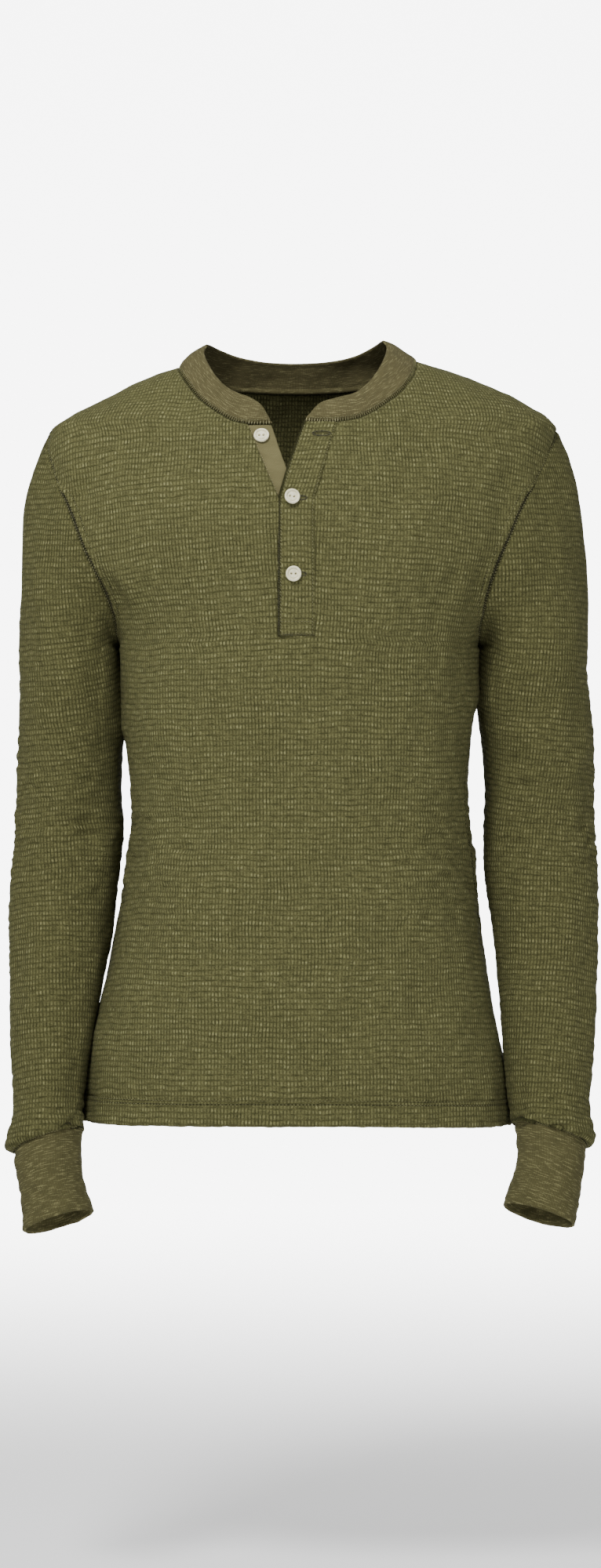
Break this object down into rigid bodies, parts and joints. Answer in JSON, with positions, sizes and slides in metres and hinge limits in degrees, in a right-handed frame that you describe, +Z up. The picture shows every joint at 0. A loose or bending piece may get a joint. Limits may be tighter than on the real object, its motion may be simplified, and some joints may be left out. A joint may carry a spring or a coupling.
{
  "type": "henley shirt",
  "caption": "Long-sleeved henley shirt in waffle knit, worn form and hollow, with a smooth neckband and cuffs and a buttoned placket open at the neck.",
  "frame": {"origin": "on the middle plane, at the height of the neck ends of the shoulder seams, where the wearer's neck and shoulders hold the shirt", "axes": "+Z up along the body, -Y towards the front of the shirt, +X towards the shirt's own left sleeve"},
  "size_m": [0.4954, 0.2474, 0.7457],
  "materials": {
    "waffle_knit": "matt olive cotton waffle knit",
    "smooth_knit": "matt olive fine-ribbed cotton knit",
    "placket_facing": "matt pale olive smooth cotton knit",
    "button": "semi-matt off-white"
  },
  "bodies": {
    "root": {"front": "waffle_knit", "back": "waffle_knit", "sleeve_right": "waffle_knit", "sleeve_left": "waffle_knit", "placket_upper": "waffle_knit", "placket_lower": "placket_facing", "neckband": "smooth_knit", "cuff_right": "smooth_knit", "cuff_left": "smooth_knit", "button_top": "button", "button_middle": "button", "button_bottom": "button"}
  },
  "joints": []
}
